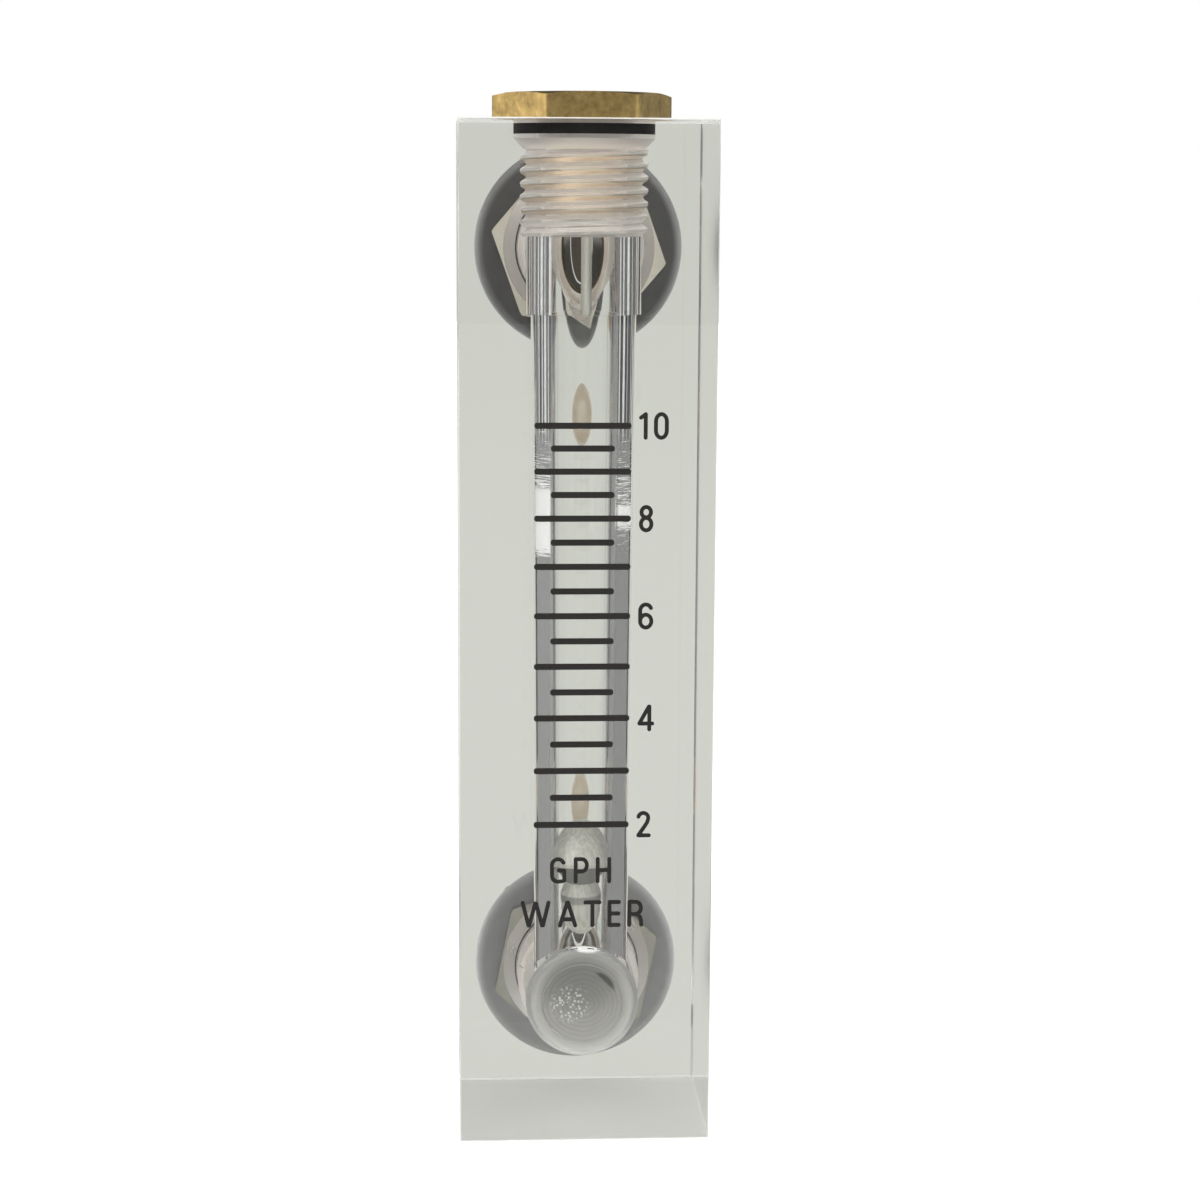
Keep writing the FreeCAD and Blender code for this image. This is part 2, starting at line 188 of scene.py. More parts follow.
def revolve(rows, ring=False, columns=COLUMNS):
    """Turned mesh about Z in millimetres. A row is (radius, height), or a function of the
    turn, from 0 to 1, that gives both. A ring joins its last row to its first."""
    shape = bmesh.new()
    grid = []
    for row in rows:
        line = []
        for column in range(columns + 1):
            turn = column / columns
            radius, height = row(turn) if callable(row) else row
            angle = 2 * math.pi * turn
            line.append(shape.verts.new(
                Vector((radius * math.cos(angle), radius * math.sin(angle), height)) * MM))
        grid.append(line)
    if ring:
        grid.append(grid[0])
    for lower, upper in zip(grid, grid[1:]):
        for a, b, c, d in zip(lower, lower[1:], upper[1:], upper):
            shape.faces.new((a, b, c, d))
    bmesh.ops.remove_doubles(shape, verts=shape.verts, dist=1e-6)
    bmesh.ops.recalc_face_normals(shape, faces=shape.faces)
    return mesh_from(shape, "turned")


def mesh_from(shape, name):
    mesh = bpy.data.meshes.new(name)
    shape.to_mesh(mesh)
    shape.free()
    return mesh


PITCH = 1.27
ROOT_END, CREST_START, CREST_END = 0.14, 0.46, 0.68


def thread_rows(low, high, minor, major, start=0.0):
    """Rows of a right-hand thread from low to high. The rows follow the helix, and both ends
    run out into a cylinder of the minor radius."""
    form = ((0.0, minor), (ROOT_END, minor), (CREST_START, major), (CREST_END, major))
    turns = math.ceil((high - low) / PITCH) + 2
    rows = []
    for turn_number in range(-1, turns):
        for phase, radius in form:
            def row(turn, base=low + PITCH * (turn_number - 1 + phase + start), radius=radius):
                height = base + PITCH * turn
                if height <= low:
                    return minor, low
                if height >= high:
                    return minor, high
                return radius, height
            rows.append(row)
    return rows


def arc(centre, reach_across, reach_up, first, last, steps):
    """Points of an arc about a centre, from the first to the last angle in degrees."""
    angles = [math.radians(first + (last - first) * step / steps) for step in range(steps + 1)]
    return [(centre[0] + reach_across * math.cos(angle), centre[1] + reach_up * math.sin(angle))
            for angle in angles]


def rounded(centre, radius, first, last, steps=8):
    return arc(centre, radius, radius, first, last, steps)


def facing_back(height):
    """Stands a turned piece in a port, from the block's back face to the rear."""
    return Matrix.Translation(Vector((0, back_face, height)) * MM) @ Matrix.Rotation(
        math.radians(-90), 4, "X")


def add_piece(name, mesh, material, body="meter", replaces=(), matrix=None, angle=35):
    mesh.shade_smooth()
    mesh.set_sharp_from_angle(angle=math.radians(angle))
    if not mesh.materials:
        mesh.materials.append(material)
    piece = bpy.data.objects.new(name, mesh)
    bpy.context.scene.collection.objects.link(piece)
    if matrix:
        piece.matrix_world = matrix
    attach(piece, body)
    if replaces:
        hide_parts(*replaces)


def block_blank():
    shape = bmesh.new()
    bmesh.ops.create_cube(shape, size=1)
    size, middle = block_high - block_low, (block_high + block_low) / 2
    for corner in shape.verts:
        corner.co = Vector(place * side for place, side in zip(corner.co, size)) + middle
    bmesh.ops.bevel(shape, geom=shape.edges, offset=EDGE_BREAK * MM, segments=1,
                    affect="EDGES")
    return mesh_from(shape, "blank")


def carve(blank, cutters):
    """Cuts turned meshes out of a blank, one after the other, and returns the new mesh."""
    body = bpy.data.objects.new("blank", blank)
    bpy.context.scene.collection.objects.link(body)
    tools = []
    for mesh, matrix in cutters:
        tool = bpy.data.objects.new("tool", mesh)
        bpy.context.scene.collection.objects.link(tool)
        tool.matrix_world = matrix
        cut = body.modifiers.new("cut", "BOOLEAN")
        cut.operation, cut.solver, cut.object = "DIFFERENCE", "EXACT", tool
        tools.append(tool)
    bpy.context.view_layer.update()
    view = body.evaluated_get(bpy.context.evaluated_depsgraph_get())
    carved = bpy.data.meshes.new_from_object(view)
    for item in (body, *tools):
        bpy.data.objects.remove(item)
    return carved


# Radii and depths of the tools, in millimetres. The bore widens from its foot to its shoulder,
# just above the end of the stop rod. A blunt drill of the tapped hole's width ends there.
DRILL = 5.75
TAP_MAJOR = 6.35
BORE_FOOT = 4.81
BORE_SHOULDER = 5.27
SHOULDER_OVER_ROD = 0.15
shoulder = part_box("float_stop_rod")[0].z / MM + SHOULDER_OVER_ROD
seat_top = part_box("float_seat")[1].z / MM
TAPPED_DEPTH = 11.4
SEAL_POCKET = 7.0
SEAL_POCKET_DEPTH = 1.85
vertical_tool = revolve([
    (0, port_heights["inlet"]), (BORE_FOOT, port_heights["inlet"]), (BORE_FOOT, seat_top),
    (BORE_SHOULDER, shoulder), (DRILL, shoulder),
    *thread_rows(block_top - TAPPED_DEPTH, block_top - 2.9, DRILL, TAP_MAJOR),
    (SEAL_POCKET - 1.0, block_top - SEAL_POCKET_DEPTH - 1.0),
    (SEAL_POCKET, block_top - SEAL_POCKET_DEPTH), (SEAL_POCKET, block_top + PAST_FACE),
    (0, block_top + PAST_FACE)])

PORT_TAP_DEPTH = 8.4
COUNTERSINK = 7.8
COUNTERSINK_DEPTH = 1.75
DRILL_CORNER = 1.2
INLET_END = front_face + 7.8
OUTLET_END = 0.6
BORE_WALL_START = port_heights["inlet"] + 3


def port_tool(front_end):
    """Drill, tap and countersink of one port. The drill leaves a nearly flat, rounded end."""
    end = front_end - back_face
    return revolve([
        (0, end - 0.12), (4.0, end), (4.12, end + 0.14),
        *rounded((DRILL - DRILL_CORNER, end + 1.3), DRILL_CORNER, -75, 0),
        *thread_rows(-PORT_TAP_DEPTH, -COUNTERSINK_DEPTH, DRILL, TAP_MAJOR),
        (COUNTERSINK - COUNTERSINK_DEPTH, -COUNTERSINK_DEPTH), (COUNTERSINK, 0),
        (COUNTERSINK + PAST_FACE, PAST_FACE), (0, PAST_FACE)])


INSERT_POCKET = 3.175
INSERT_POCKET_DEPTH = 4.4
insert_tool = revolve([
    (0, -INSERT_POCKET_DEPTH), (2.75, -INSERT_POCKET_DEPTH), (INSERT_POCKET, -3.35),
    (INSERT_POCKET, PAST_FACE), (0, PAST_FACE)], columns=96)
block_mesh = carve(block_blank(), [
    (vertical_tool, Matrix.Identity(4)),
    (port_tool(INLET_END), facing_back(port_heights["inlet"])),
    (port_tool(OUTLET_END), facing_back(port_heights["outlet"])),
    (insert_tool, facing_back(insert_heights["lower"])),
    (insert_tool.copy(), facing_back(insert_heights["upper"]))])

# Polished front and back: clear, with a faint haze and a few hairline scratches.
CLEAR = (0.955, 0.96, 0.95)
ACRYLIC_IOR = 1.49
polished = finish_of("polished acrylic")
haze = polished.cloud(14, detail=2)
scratches = polished.cloud(0.5, detail=2, stretch=(1, 1, 0.03))
acrylic_polished = polished.surface(
    Base_Color=CLEAR, Roughness=0.004 + 0.03 * haze * scratches ** 3, IOR=ACRYLIC_IOR,
    Transmission_Weight=1.0)

# Sawn sides: frosted from outside. From within they are milky where light meets them head on,
# and mirror at a slant.
sawn = finish_of("sawn acrylic sides")
saw_marks = sawn.cloud(0.4, stretch=(0.05, 1, 1))
relief = sawn.bump(saw_marks, 0.1, 0.02)
frosted = sawn.principled(
    Base_Color=(0.97, 0.975, 0.96), Roughness=0.35 + 0.15 * saw_marks, IOR=ACRYLIC_IOR,
    Transmission_Weight=0.8, Normal=relief)
milky = sawn.node("BsdfTranslucent", {}, {"Color": (0.27, 0.27, 0.274), "Normal": relief})
sheen = sawn.node("BsdfGlossy", {}, {"Color": (0.99, 0.99, 0.99), "Roughness": 0.11})
from_within = sawn.either(sawn.node("Fresnel", {}, {"IOR": ACRYLIC_IOR}), milky, sheen)
acrylic_sawn = sawn.close(sawn.either(
    sawn.node("NewGeometry", output="Backfacing"), frosted, from_within))

# Sawn top and bottom, rougher, and paler by painted light: a constant glow of their own.
ends = finish_of("sawn acrylic ends")
saw_marks = ends.cloud(0.4, stretch=(0.05, 1, 1))
acrylic_ends = ends.surface(
    Base_Color=(0.97, 0.975, 0.965), Roughness=0.6 + 0.15 * saw_marks, IOR=ACRYLIC_IOR,
    Transmission_Weight=0.8, Emission_Color=(0.235, 0.24, 0.23), Emission_Strength=1.0,
    Normal=ends.bump(saw_marks, 0.1, 0.02))

# Reamed bore: clear, with upright streaks above the scale. On both flanks of its front half the
# streaks are painted in, dark as painted shade and as glowing white lines of painted highlight.
# Fine scratches there, and a patch on each flank, glow white as a painted highlight of a lamp's
# glare. Heights are in millimetres.
STREAKS_START, STREAKS_FULL = 69.0, 73.0
LEFT_GLARE, LEFT_GLARE_REACH = 63.6, 3.3
RIGHT_GLARE, RIGHT_GLARE_REACH = 62.4, 1.6
GLARE_BAND, GLARE_BAND_REACH = 64.5, 9.5
reamed = finish_of("reamed bore")
across, deep, height = reamed.parts(reamed.place())
round_bore = reamed.node("Math", {"operation": "ARCTAN2"}, {0: across, 1: deep})
streaks = reamed.node("TexNoise", {"noise_dimensions": "1D"}, {
    "W": round_bore, "Scale": 15.0, "Detail": 2.5})
chatter = reamed.cloud(0.3, detail=4, stretch=(0.12, 0.12, 4.0))
left_side = reamed.fade(across, 1.0, -1.0)
front_flanks = reamed.fade(across ** 2, 10.5, 12.0) * reamed.fade(deep, -1.5, -2.0)
streaky = reamed.fade(height, STREAKS_START, STREAKS_FULL, soft=True)
glare_patch_left = reamed.fade(
    abs(height - LEFT_GLARE + chatter * 3.4), LEFT_GLARE_REACH, LEFT_GLARE_REACH - 0.6)
glare_patch_right = reamed.fade(
    abs(height - RIGHT_GLARE), RIGHT_GLARE_REACH, RIGHT_GLARE_REACH - 0.9, high=0.36)
glare_patch = left_side * glare_patch_left + (1 - left_side) * glare_patch_right
glare_band = reamed.fade(abs(height - GLARE_BAND), GLARE_BAND_REACH, 2.0)
# Painted highlight: fine scratches and a patch on each flank glow white for a lamp's glare.
glare_and_scratches = reamed.fade(
    chatter * 0.8 + glare_patch * 0.45 + glare_band * (0.19 + 0.03 * left_side), 0.61, 0.66)
# Painted highlight and painted shade: on the front flanks the streaks become white glowing lines
# and a dark opaque wall. The dark wall covers more to the right and less above the shoulder.
highlight_lines = reamed.fade(streaks, 0.55, 0.60, high=0.75)
shaded = reamed.fade(streaks + left_side * 0.11, 0.57, 0.52, high=0.85)
shaded = shaded * reamed.fade(height, shoulder - 0.1, shoulder + 0.1, low=1.0, high=0.45)
clear_wall = reamed.principled(
    Base_Color=CLEAR, Roughness=0.012 + 0.02 * streaks, IOR=ACRYLIC_IOR,
    Transmission_Weight=1.0)
glare_wall = reamed.principled(
    Base_Color=(0.97, 0.97, 0.97), Roughness=0.6, Emission_Color=(0.42, 0.42, 0.415),
    Emission_Strength=1.0)
painted_shade_wall = reamed.principled(Base_Color=(0.06, 0.065, 0.075))
acrylic_reamed = reamed.close(reamed.either(
    front_flanks * (glare_and_scratches + highlight_lines * streaky),
    reamed.either(front_flanks * streaky * shaded, clear_wall, painted_shade_wall), glare_wall))

# Drilled and tapped holes: frosted by the tool, and warm by painted light: a constant glow in the
# brass's tone.
tapped = finish_of("drilled and tapped acrylic")
grain = tapped.cloud(0.35, detail=4)
acrylic_tapped = tapped.surface(
    Base_Color=(0.985, 0.975, 0.965), Roughness=0.34 + 0.2 * grain, IOR=ACRYLIC_IOR,
    Transmission_Weight=0.8, Emission_Color=(0.10, 0.085, 0.073), Emission_Strength=1.0,
    Normal=tapped.bump(grain, 0.2, 0.04))

# Blind end of the inlet: rings left by the drill, a patch of small bubbles left of the centre, a
# dark crescent to the upper right, a rounded rim painted pale as a painted highlight, and a
# painted glint on its upper rim. Bubbles and glint glow white as painted highlight.
RINGS_PER_MM = 13
BUBBLES_LEFT = 1.3
CRESCENT_OUT = 3.45
faced = finish_of("drilled blind end")
across, _, height = faced.parts(faced.place())
upward = height - port_heights["inlet"]
from_centre = (across ** 2 + upward ** 2) ** 0.5
wobble = faced.cloud(2.5, detail=2)
drill_rings = faced.node("Math", {"operation": "SINE"}, {
    0: (from_centre + wobble * 0.5) * RINGS_PER_MM})
# Painted highlight: the rounded outer rim is painted pale.
painted_rim_light = faced.fade(from_centre, 3.9, 4.9, soft=True)
near_patch = faced.fade((across + BUBBLES_LEFT) ** 2 + upward ** 2, 5.5, 0.5, soft=True)
bubbles = near_patch * faced.fade(
    faced.node("TexVoronoi", {}, {"Vector": faced.place(), "Scale": 3.1}), 0.46, 0.28)
along = (across - upward) * 0.7
outward = (across + upward) * 0.7 - CRESCENT_OUT + along ** 2 * 0.13
dark_crescent = faced.fade(
    along ** 2 * 0.3 + outward ** 2 * 5 + wobble * 0.8, 1.25, 0.65, soft=True)
# Painted glint: a white patch on the upper rim that glows, and the bubbles glow too.
glint = faced.fade(upward - (across - 0.7) ** 2 * 0.12 + wobble * 0.4, 5.3, 5.6, soft=True)
tint = faced.blend(painted_rim_light, (0.42, 0.42, 0.41), (0.90, 0.905, 0.90))
tint = faced.blend(0.17 * drill_rings + 0.3, tint, (0.66, 0.66, 0.65))
tint = faced.blend(dark_crescent * 0.9, tint, (0.03, 0.03, 0.03))
acrylic_faced = faced.surface(
    Base_Color=faced.blend(bubbles + glint, tint, (1.0, 1.0, 1.0)),
    Roughness=0.42 + 0.1 * wobble, IOR=ACRYLIC_IOR, Transmission_Weight=0.55,
    Emission_Color=faced.blend(glint + bubbles * 0.5, (0, 0, 0), (0.5, 0.5, 0.5)),
    Emission_Strength=1.0, Normal=faced.bump(drill_rings * 0.15 + bubbles, 0.5, 0.08))

# Pockets of the inserts: frosted, with the colour of the brass in them painted on as a painted
# reflection, and a warm painted glow.
pockets = finish_of("insert pockets")
grain = pockets.cloud(0.5, detail=4)
acrylic_pockets = pockets.surface(
    Base_Color=pockets.blend(grain, (0.86, 0.77, 0.64), (0.74, 0.64, 0.50)), Roughness=0.5,
    IOR=ACRYLIC_IOR, Transmission_Weight=0.25, Emission_Color=(0.17, 0.145, 0.11),
    Emission_Strength=1.0)


def in_bore(place):
    """Whether a place lies on the tapered bore or on the plain wall above its shoulder."""
    from_axis = math.hypot(place.x, place.y)
    on_wall = abs(from_axis - DRILL) < 0.05 or from_axis < BORE_SHOULDER + 0.02
    return on_wall and BORE_WALL_START < place.z < block_top - TAPPED_DEPTH


def in_insert_pocket(place):
    from_insert = min(math.hypot(place.x, place.z - height) for height in insert_heights.values())
    return place.y > back_face - INSERT_POCKET_DEPTH - 0.1 and from_insert < INSERT_POCKET + 0.025


def finish_at(place):
    """The finish of the block's surface at a place, in millimetres."""
    if min(place.y - front_face, back_face - place.y) < 0.01:
        return acrylic_polished
    if min(place.z, block_top - place.z) < EDGE_BREAK + 0.03:
        return acrylic_ends
    if block_side - abs(place.x) < EDGE_BREAK + 0.03:
        return acrylic_sawn
    if in_insert_pocket(place):
        return acrylic_pockets
    if in_bore(place):
        return acrylic_reamed
    if place.z < port_heights["outlet"] / 2 and place.y < INLET_END + DRILL_CORNER + 0.3:
        return acrylic_faced
    return acrylic_tapped


block_finishes = [acrylic_polished, acrylic_sawn, acrylic_reamed, acrylic_tapped, acrylic_faced,
                  acrylic_ends, acrylic_pockets]
for material in block_finishes:
    block_mesh.materials.append(material)
for face in block_mesh.polygons:
    face.material_index = block_finishes.index(finish_at(face.center / MM))
add_piece("clear_block", block_mesh, acrylic_polished,
          replaces=["acrylic_block"])

# --------------------------------------------------------------------------------------------
# Float seat. A thin clear ring, cemented into the foot of the bore, that takes the float's ball
# nose when no water flows. Next to nothing shows of it but the shine on its edges.
seat_finish = finish_of("thin clear seat")
edge_on = seat_finish.node("LayerWeight", {}, {"Blend": 0.5}, output="Facing")
acrylic_seat = seat_finish.close(seat_finish.either(
    edge_on ** 5 * 0.4,
    seat_finish.node("BsdfTransparent", {}, {"Color": (0.95, 0.955, 0.95)}),
    seat_finish.node("BsdfGlossy", {}, {"Color": (0.97, 0.97, 0.97), "Roughness": 0.1})))


def dress(node_name, material):
    """Gives a finish to a piece that keeps its own mesh."""
    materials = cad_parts[node_name].data.materials
    materials.clear()
    materials.append(material)


dress("float_seat", acrylic_seat)

# --------------------------------------------------------------------------------------------
# Printed scale. Black-brown ink, screen printed on the front face in strokes with round ends:
# the graduation lines, their even numerals, and the unit and the medium below them.
INK_DEPTH = 0.06
INK_STEP = 0.0015
INK_FOOT = 0.001
HALF_STROKE = 0.073
SAME_PLACE = 1e-6


def oval(centre_x, centre_y, reach_x, reach_y, first, last):
    steps = max(4, int(abs(last - first) / 12))
    return arc((centre_x, centre_y), reach_x, reach_y, first, last, steps)


# Strokes of each letter, in parts of its height.
GLYPHS = {
    "1": [[(0.055, 0.80), (0.14, 0.86), (0.225, 0.925)], [(0.225, 0.925), (0.225, 0.073)]],
    "0": [oval(0.27, 0.667, 0.197, 0.26, 0, 180) + oval(0.27, 0.333, 0.197, 0.26, 180, 360)
          + [(0.467, 0.667)]],
    "8": [oval(0.27, 0.735, 0.172, 0.19, 0, 360), oval(0.27, 0.30, 0.19, 0.227, 0, 360)],
    "6": [oval(0.285, 0.70, 0.205, 0.227, 25, 180) + [(0.08, 0.31)],
          oval(0.285, 0.31, 0.205, 0.237, 0, 360)],
    "4": [[(0.44, 0.925), (0.44, 0.073)], [(0.42, 0.925), (0.075, 0.30)],
          [(0.075, 0.29), (0.55, 0.29)]],
    "2": [oval(0.26, 0.735, 0.185, 0.19, 165, -20) + [(0.40, 0.56), (0.33, 0.45), (0.08, 0.08)],
          [(0.08, 0.075), (0.47, 0.075)]],
    "G": [oval(0.295, 0.70, 0.222, 0.227, 25, 180) + oval(0.295, 0.30, 0.222, 0.227, 180, 285)
          + [(0.45, 0.085), (0.53, 0.12)], [(0.53, 0.12), (0.53, 0.49)],
          [(0.53, 0.49), (0.33, 0.50)]],
    "P": [[(0.075, 0.925), (0.075, 0.073)],
          [(0.075, 0.925), *oval(0.30, 0.69, 0.19, 0.235, 90, -90), (0.075, 0.455)]],
    "H": [[(0.075, 0.925), (0.075, 0.073)], [(0.505, 0.925), (0.505, 0.073)],
          [(0.075, 0.50), (0.505, 0.50)]],
    "W": [[(0.06, 0.925), (0.27, 0.085)], [(0.30, 0.085), (0.51, 0.90)],
          [(0.54, 0.90), (0.76, 0.085)], [(0.79, 0.085), (0.99, 0.925)]],
    "A": [[(0.07, 0.073), (0.33, 0.925)], [(0.36, 0.925), (0.62, 0.073)],
          [(0.17, 0.30), (0.52, 0.30)]],
    "T": [[(0.06, 0.925), (0.57, 0.925)], [(0.315, 0.925), (0.315, 0.073)]],
    "E": [[(0.075, 0.925), (0.075, 0.073)], [(0.075, 0.925), (0.41, 0.925)],
          [(0.075, 0.50), (0.40, 0.50)], [(0.075, 0.075), (0.41, 0.075)]],
    "R": [[(0.075, 0.925), (0.075, 0.073)],
          [(0.075, 0.925), *oval(0.30, 0.70, 0.19, 0.225, 90, -90), (0.075, 0.475)],
          [(0.32, 0.47), (0.45, 0.38), (0.495, 0.26), (0.505, 0.073)]],
}


def stroke_outlines(points, half):
    """Flat outlines that make up one stroke with round ends: a box a stretch, and two caps."""
    closed = math.dist(points[0], points[-1]) < SAME_PLACE
    if closed:
        points = points[:-1]
    points = [place for index, place in enumerate(points)
              if index == 0 or math.dist(place, points[index - 1]) > SAME_PLACE]
    last = len(points) - 1
    left, right = [], []
    for index, (x, z) in enumerate(points):
        before = points[index - 1] if index > 0 or closed else points[index]
        after = points[(index + 1) % len(points)] if index < last or closed else points[index]
        run = Vector((after[0] - before[0], after[1] - before[1])).normalized()
        left.append((x - run.y * half, z + run.x * half))
        right.append((x + run.y * half, z - run.x * half))
    pairs = list(zip(left, right))
    if closed:
        pairs.append(pairs[0])
    outlines = [[a, b, d, c] for (a, b), (c, d) in zip(pairs, pairs[1:])]
    if not closed:
        for middle, edge in ((points[0], left[0]), (points[-1], right[-1])):
            start = math.atan2(edge[1] - middle[1], edge[0] - middle[0])
            angles = [start + math.pi * step / 10 for step in range(11)]
            outlines.append([(middle[0] + half * math.cos(angle),
                              middle[1] + half * math.sin(angle)) for angle in angles])
    return outlines


def draw_stroke(shape, points, half, depth):
    """Adds one raised stroke to the front face. Points are x and z in millimetres. Its outlines
    share their corners, and only the edges that no two of them share get a wall."""
    tops, feet, edges = {}, {}, {}
    for outline in stroke_outlines(points, half):
        ring = []
        for x, z in outline:
            corner = (round(x, 5), round(z, 5))
            if corner not in tops:
                tops[corner] = shape.verts.new(Vector((x, front_face - depth, z)) * MM)
                feet[corner] = shape.verts.new(Vector((x, front_face - INK_FOOT, z)) * MM)
            if corner not in ring:
                ring.append(corner)
        if len(ring) > 2:
            shape.faces.new([tops[corner] for corner in ring])
            shape.faces.new([feet[corner] for corner in ring])
            for edge in zip(ring, ring[1:] + ring[:1]):
                edges.setdefault(frozenset(edge), []).append(edge)
    for owners in edges.values():
        if len(owners) == 1:
            start, end = owners[0]
            shape.faces.new((tops[start], tops[end], feet[end], feet[start]))


def word_strokes(word, lefts, base, height):
    """Strokes of a word on its base line, with the left edge of each letter given."""
    strokes = []
    for letter, left in zip(word, lefts):
        for line in GLYPHS[letter]:
            strokes.append(([(left + x * height, base + z * height) for x, z in line],
                            HALF_STROKE * height))
    return strokes


def print_strokes(name, strokes):
    """Prints strokes as one piece. Each is a little thicker or thinner than those it crosses,
    so that no two of their faces lie in one plane."""
    shape = bmesh.new()
    for number, (points, half) in enumerate(strokes):
        draw_stroke(shape, points, half, INK_DEPTH + INK_STEP * (number % 5))
    bmesh.ops.recalc_face_normals(shape, faces=shape.faces)
    add_piece(name, mesh_from(shape, name), ink)


ink_finish = finish_of("printing ink")
wear = ink_finish.cloud(0.6)
ink = ink_finish.surface(
    Base_Color=ink_finish.blend(wear, (0.006, 0.005, 0.0045), (0.016, 0.013, 0.012)),
    Roughness=0.55 + 0.2 * wear, Specular_IOR_Level=0.3, Normal=ink_finish.bump(wear, 0.2, 0.02))
dress("graduation_marks", ink)

# The lines stand closer together the higher they are.
LINES = 9
LINE_STEP, LINE_LOSS = 5.44, 0.1415
lowest_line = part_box("graduation_marks")[0].z / MM + 0.3
line_heights = [lowest_line + LINE_STEP * step - LINE_LOSS * step * (step - 1) / 2
                for step in range(LINES)]
NUMERAL_HEIGHT = 2.68
NUMERAL_DROP = 1.35
UNIT_BASE = 26.7
MEDIUM_BASE, MEDIUM_HEIGHT = 22.2, 2.76
numerals = []
for word, lefts, line in (("2", (4.97,), 0), ("4", (5.0,), 2), ("6", (4.98,), 4),
                          ("8", (4.98,), 6), ("10", (4.98, 6.38), 8)):
    numerals += word_strokes(word, lefts, line_heights[line] - NUMERAL_DROP, NUMERAL_HEIGHT)
print_strokes("scale_numerals", numerals)
unit = word_strokes("GPH", (-3.57, -1.22, 0.97), UNIT_BASE, NUMERAL_HEIGHT)
medium = word_strokes("WATER", (-6.44, -2.76, -0.20, 2.16, 4.15), MEDIUM_BASE, MEDIUM_HEIGHT)
print_strokes("scale_words", unit + medium)

# --------------------------------------------------------------------------------------------
# Float. Turned from stainless bar in one piece: ball nose, guide bulb with a thin collar, waist
# and domed head. It hangs free in the tapered bore and rises with the flow.
NOSE, COLLAR, WAIST, HEAD = 3.05, 3.18, 2.45, 4.62
COLLAR_MIDDLE, WAIST_MIDDLE = 4.1, 6.8
float_mesh = revolve([
    (0, 0), *rounded((0, 2.95), NOSE, -75, 0, 20), (NOSE, 3.55),
    *rounded((NOSE, 3.66), 0.06, -90, 0, 3), (COLLAR, 3.78), (COLLAR, 4.42),
    (3.10, 4.56), (WAIST, 5.6), (WAIST, 5.66), (4.5, 7.85), (HEAD, 7.97), (HEAD, 8.3),
    *rounded((0, 7.136), 4.764, 14, 90, 24)], columns=128)
steel_finish = finish_of("turned stainless steel")
rings = steel_finish.cloud(0.12, detail=4, stretch=(0.02, 0.02, 1))
# Painted shade in upright streaks: they stand for the bore wall's streaks seen through the
# acrylic.
upright_streaks = steel_finish.fade(steel_finish.cloud(0.35, stretch=(1, 1, 0.05)), 0.42, 0.58)
_, _, height = steel_finish.parts(steel_finish.place())
# Painted shade: the waist under the head and the collar are darker.
waist_shade = steel_finish.fade(abs(height - WAIST_MIDDLE), 1.14, 1.08)
collar_shade = steel_finish.fade(abs(height - COLLAR_MIDDLE), 0.45, 0.3)
tint = steel_finish.blend(upright_streaks, (1.0, 0.985, 0.93), (0.87, 0.855, 0.80))
steel = steel_finish.surface(
    Base_Color=steel_finish.blend(waist_shade + collar_shade * 0.7, tint, (0.38, 0.375, 0.36)),
    Metallic=1.0, Roughness=0.58 + 0.12 * rings, Normal=steel_finish.bump(rings, 0.25, 0.02))
float_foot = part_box("float")[0].z
add_piece("steel_float", float_mesh, steel, body="float", replaces=["float"],
          matrix=Matrix.Translation((0, 0, float_foot)), angle=28)

# --------------------------------------------------------------------------------------------
# Float stop. A straight stainless rod, pressed into the plug, that hangs down to the shoulder
# and keeps the float out of the outlet.
dress("float_stop_rod", steel)

# --------------------------------------------------------------------------------------------
# Port fittings. Brass, turned from hexagon bar and screwed into the ports: a threaded nose with
# a sealing neck, a thin hexagon against the block, and a threaded rear shank, bored for a pipe.
FLATS = 15.875
FLANGE = 1.0
NECK = 5.25
NOSE_THREAD = (5.62, 6.27)
SHANK_THREAD = (5.75, 6.3)
WATERWAY = 4.2
PIPE_BORE, PIPE_BORE_DEPTH = 4.55, 9.5
hexagon_turns = {"inlet": -18.5, "outlet": 10.5}


def from_back_face(node_name):
    """Where a piece starts and ends, in millimetres behind the block's back face."""
    low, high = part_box(node_name)
    return low.y / MM - back_face, high.y / MM - back_face


def hex_rows(flats, turn_degrees, low, high, fall=0.0):
    """Side of a hexagon, as rows. With a fall, a chamfer is turned on its top, which falls by
    so much a millimetre outwards."""
    rim = flats / 2

    def outline(turn):
        angle = (turn * 360 - turn_degrees) % 60 - 30
        return rim / math.cos(math.radians(angle))

    rows = [lambda turn: (outline(turn), low),
            lambda turn: (outline(turn), high - fall * (outline(turn) - rim))]
    return rows + [(rim - 0.15, high)] if fall else rows


def turned_brass(name, pale_below=-9.0, shade_inside_radius=0.0,
                 pale_tones=((0.93, 0.83, 0.71), (0.80, 0.70, 0.58))):
    """Brass that is painted paler, a painted reflection, where it lies against the acrylic below
    a height in millimetres, and painted dark brown inside a radius as painted shade."""
    finish = finish_of(name)
    turning = finish.cloud(0.15, detail=4, stretch=(0.03, 0.03, 1))
    tarnish = finish.cloud(1.6, detail=5)
    across, deep, height = finish.parts(finish.place())
    # Painted reflection below the given height, and painted shade inside the bore.
    pale = finish.fade(height, pale_below + 0.05, pale_below - 0.05)
    inside = finish.fade(across ** 2 + deep ** 2, shade_inside_radius ** 2, shade_inside_radius ** 2 - 0.5)
    mottled = finish.fade(tarnish * 0.6 + finish.cloud(0.5, detail=7) * 0.4, 0.33, 0.72)
    tint = finish.blend(mottled, (0.82, 0.585, 0.24), (0.27, 0.185, 0.07))
    tint = finish.blend(pale, tint, finish.blend(tarnish, *pale_tones))
    return finish.surface(
        Base_Color=finish.blend(inside, tint, (0.09, 0.062, 0.036)), Metallic=1.0,
        Roughness=0.2 + 0.1 * turning + 0.14 * tarnish, Normal=finish.bump(turning, 0.2, 0.02))


